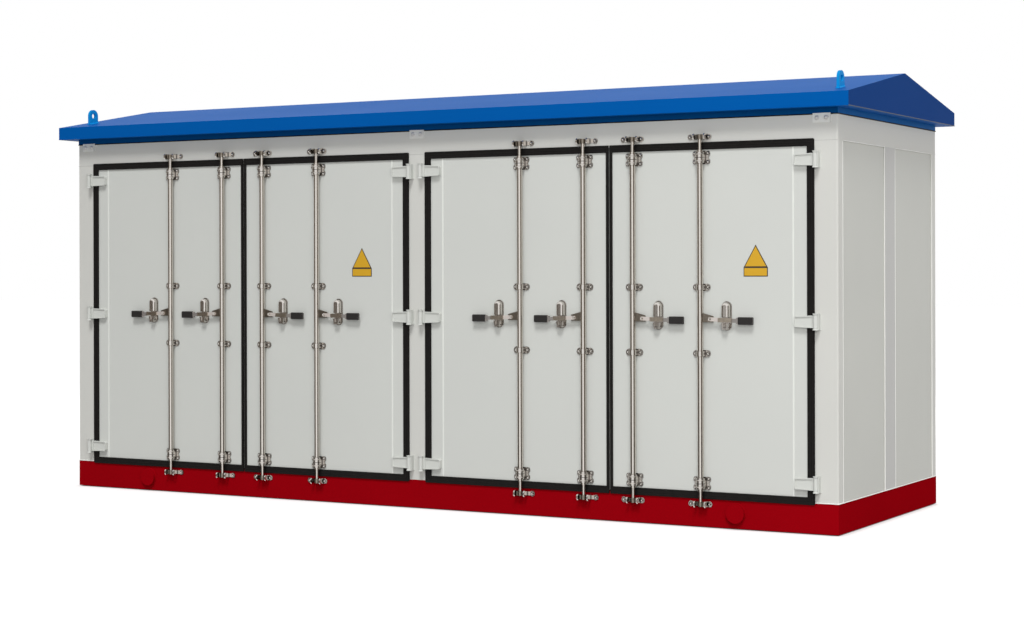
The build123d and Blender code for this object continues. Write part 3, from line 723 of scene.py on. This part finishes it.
for name, joint in rods.items():
    number = name[-1]
    rod_x, rod_y, middle = joint["pos_m"]
    side = hinge_side[int(joint["parent"][-1])]
    front, back = rod_y - bar_front - grip_skin, rod_y + bar_back + grip_skin
    left, right = sorted((rod_x + side * grip_start, rod_x + side * (handle_reach + grip_skin)))
    rounded_box(f"handle_{number}_grip", (left, front, middle - grip_half_height - grip_skin),
                (right, back, middle + grip_half_height + grip_skin), grip_edge, dipped_pvc, name,
                segments=4)
    # The ferrule takes the same darker steel, a painted shade.
    left, right = sorted((rod_x + side * (grip_start - ferrule_length), rod_x + side * grip_start))
    rounded_box(f"handle_{number}_ferrule", (left, front + ferrule_inset, middle - ferrule_half_height),
                (right, back - ferrule_inset, middle + ferrule_half_height), ferrule_edge, bar_end_painted_shade,
                name)
    pivot = (rod_x + side * pivot_reach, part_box(f"handle_{number}")[0].y + pivot_nut_sink,
             middle + pivot_rise)
    grow(f"handle_{number}_pivot_nut", cap_nuts, [pivot], [],
         {"Across": nut_across, "Height": pivot_nut_height, "Facing": front_facing,
          "Material": stainless}, name)

# Two blank plates on the outer doors are stamped from sheet and enamelled yellow, a triangle over a
# strip, each on a dark backing that shows as a thin rim. They are glued on and carry nothing.
plate_from_bay_middle = 0.904
triangle_width, triangle_height = 0.143, 0.126
strip_width, strip_height = 0.145, 0.052
plates_low = 1.410
plate_rim = 0.005
plate_thickness = 0.0012
plate_edge = 0.0004
yellow_enamel = sprayed("yellow_vitreous_enamel", "#d9a92c", "#d2a228", 0.30, 5.0, 0.03, gloss=0.4)
dark_backing = sprayed("dark_brown_enamel", "#3c342a", "#362f26", 0.40, 5.0, 0.03)


def flat_plate(name, outline, back, material, body):
    """A plate of the given outline in X and Z, stood in front of y = back and carried by a body."""
    mesh = bpy.data.meshes.new(name)
    count = len(outline)
    points = [(x, y, z) for y in (back - plate_thickness, back) for x, z in outline]
    faces = [tuple(range(count)), tuple(reversed(range(count, 2 * count)))]
    faces += [(i, i + count, (i + 1) % count + count, (i + 1) % count) for i in range(count)]
    mesh.from_pydata(points, [], faces)
    mesh.materials.append(material)
    piece = bpy.data.objects.new(name, mesh)
    bpy.context.scene.collection.objects.link(piece)
    rounding = piece.modifiers.new("rounded_edges", "BEVEL")
    rounding.width = plate_edge
    rounding.segments = 2
    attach(piece, body)


def triangle(middle, low, rim):
    """The outline of the upper plate, drawn in by rim on all sides."""
    tilt = math.atan2(2 * triangle_height, triangle_width)
    half = triangle_width / 2 - rim / math.tan(tilt / 2)
    top = low + triangle_height - rim / math.cos(tilt)
    return [(middle - half, low + rim), (middle + half, low + rim), (middle, top)]


for n in (2, 4):
    bay_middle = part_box(f"door_{n}_seal")[0].x
    middle = bay_middle + plate_from_bay_middle
    for label, rim, back, material in (("backing", 0.0, leaf_face, dark_backing),
                                       ("face", plate_rim, leaf_face - plate_thickness, yellow_enamel)):
        flat_plate(f"door_{n}_triangle_{label}", triangle(middle, plates_low + strip_height, rim), back,
                   material, f"door_{n}")
        left, right = middle - strip_width / 2 + rim, middle + strip_width / 2 - rim
        bottom, head = plates_low + rim, plates_low + strip_height - rim
        flat_plate(f"door_{n}_strip_{label}",
                   [(left, bottom), (right, bottom), (right, head), (left, head)], back, material,
                   f"door_{n}")

# The studio's floor is pale paper that runs on as the white background, a little below the base so
# that the joint shows as a thin dark line. Steel doesn't mirror it, so that the low parts of the
# rods show the screens as their high parts do.
floor_half = 60.0
floor_gap = 0.005
contact_reach = 0.06
paper_glow = 0.60
paper_grey = (0.50, 0.50, 0.50, 1.0)
floor_mesh = bpy.data.meshes.new("studio_floor")
floor_corners = [(x * floor_half, y * floor_half, -floor_gap)
                 for x, y in ((-1, -1), (1, -1), (1, 1), (-1, 1))]
floor_mesh.from_pydata(floor_corners, [], [(0, 1, 2, 3)])
floor = bpy.data.objects.new("studio_floor", floor_mesh)
bpy.context.scene.collection.objects.link(floor)
studio_paper = bpy.data.materials.new("white_studio_paper")
studio_paper.use_nodes = True
tree = studio_paper.node_tree
tree.nodes.clear()
path = add(tree, "ShaderNodeLightPath")
# Near the object the paper's glow is dimmed by ambient occlusion, a painted contact shadow.
painted_contact_shadow = add(tree, "ShaderNodeAmbientOcclusion", {"Distance": contact_reach})
glow = add(tree, "ShaderNodeMath", {0: path.outputs["Is Camera Ray"], 1: painted_contact_shadow.outputs["AO"]},
           operation="MULTIPLY")
glow = add(tree, "ShaderNodeMath", {0: glow.outputs[0], 1: paper_glow}, operation="MULTIPLY")
paper = add(tree, "ShaderNodeBsdfDiffuse", {"Color": paper_grey})
light = add(tree, "ShaderNodeEmission", {"Color": (1, 1, 1, 1), "Strength": glow.outputs[0]})
both = add(tree, "ShaderNodeAddShader", {0: paper.outputs[0], 1: light.outputs[0]})
add(tree, "ShaderNodeOutputMaterial", {"Surface": both.outputs[0]})
floor_mesh.materials.append(studio_paper)
floor.visible_glossy = False

# Brown cloth screens hang at the left and right, outside the picture, and a grey one at the far
# left. They reach below the floor, so that the whole height of a rod shows them. Only steel mirrors
# them: the rods as stripes, the flat fittings as a darker tone.
screens = ((-9.5, -13.0, 4.0, 4.5), (7.4, -8.0, 6.0, 3.5), (-9.5, -30.0, -13.0, 5.5))
screen_foot = -4.0
screen_mesh = bpy.data.meshes.new("side_screens")
points = [(x, y, z) for x, near, far, head in screens
          for y, z in ((near, screen_foot), (far, screen_foot), (far, head), (near, head))]
screen_mesh.from_pydata(points, [], [(0, 1, 2, 3), (4, 5, 6, 7), (8, 9, 10, 11)])
screen = bpy.data.objects.new("side_screens", screen_mesh)
bpy.context.scene.collection.objects.link(screen)
screen_cloth, tree, _ = start_material("brown_studio_cloth")
end_material(tree, {"Base Color": linear("#827970"), "Roughness": 0.9})
screen_mesh.materials.append(screen_cloth)
grey_cloth, tree, _ = start_material("grey_studio_cloth")
end_material(tree, {"Base Color": linear("#8f877e"), "Roughness": 0.9})
screen_mesh.materials.append(grey_cloth)
screen_mesh.polygons[2].material_index = 1
screen.visible_camera = False
screen.visible_shadow = False

# The air round the studio is white where the camera, glass or steel looks past everything, and
# dimmer as light, so that it fills the shadows and leaves the modelling to the lamps.
ambient = 0.41
world = bpy.data.worlds.new("studio")
bpy.context.scene.world = world
world.use_nodes = True
tree = world.node_tree
tree.nodes.clear()
path = add(tree, "ShaderNodeLightPath")
seen = add(tree, "ShaderNodeMath", {0: path.outputs["Is Camera Ray"], 1: path.outputs["Is Glossy Ray"]},
           operation="MAXIMUM")
seen = add(tree, "ShaderNodeMath", {0: seen.outputs[0], 1: path.outputs["Is Transmission Ray"]},
           operation="MAXIMUM")
strength = add(tree, "ShaderNodeMapRange", {"Value": seen.outputs[0], "To Min": ambient,
                                            "To Max": 1.0})
sky = add(tree, "ShaderNodeBackground", {"Color": (1, 1, 1, 1),
                                         "Strength": strength.outputs["Result"]})
add(tree, "ShaderNodeOutputWorld", {"Surface": sky.outputs[0]})

# The lamps are a high soft sun for the front and roof, two wide soft boxes that lift the right end,
# and one behind. Steel doesn't mirror them, because it shows the white air and the screens alone.


def lamp(name, kind, energy, place, target, **settings):
    """A lamp of the studio, turned from its place to a point on the object."""
    data = bpy.data.lights.new(name, kind)
    data.energy = energy
    for key, value in settings.items():
        setattr(data, key, value)
    made = bpy.data.objects.new(name, data)
    aim = Vector(target) - Vector(place)
    made.matrix_world = Matrix.Translation(place) @ aim.to_track_quat("-Z", "Y").to_matrix().to_4x4()
    made.visible_glossy = False
    bpy.context.scene.collection.objects.link(made)


lamp("high_soft_sun", "SUN", 1.80, (2.2, -5.4, 9.0), (0, 0, 1.2), angle=math.radians(18))
lamp("right_soft_box", "AREA", 230.0, (6.5, -8.0, 3.2), (2.2, -0.8, 1.2), shape="RECTANGLE",
     size=4.0, size_y=3.0)
lamp("end_soft_box", "AREA", 40.0, (7.0, 0.5, 2.6), (2.7, 0.0, 1.2), shape="RECTANGLE",
     size=3.0, size_y=3.0)
lamp("back_soft_box", "AREA", 420.0, (-3.0, 9.0, 5.0), (0, 0.9, 1.2), shape="RECTANGLE",
     size=6.0, size_y=4.0)

scene = bpy.context.scene
scene.view_settings.view_transform = "Standard"
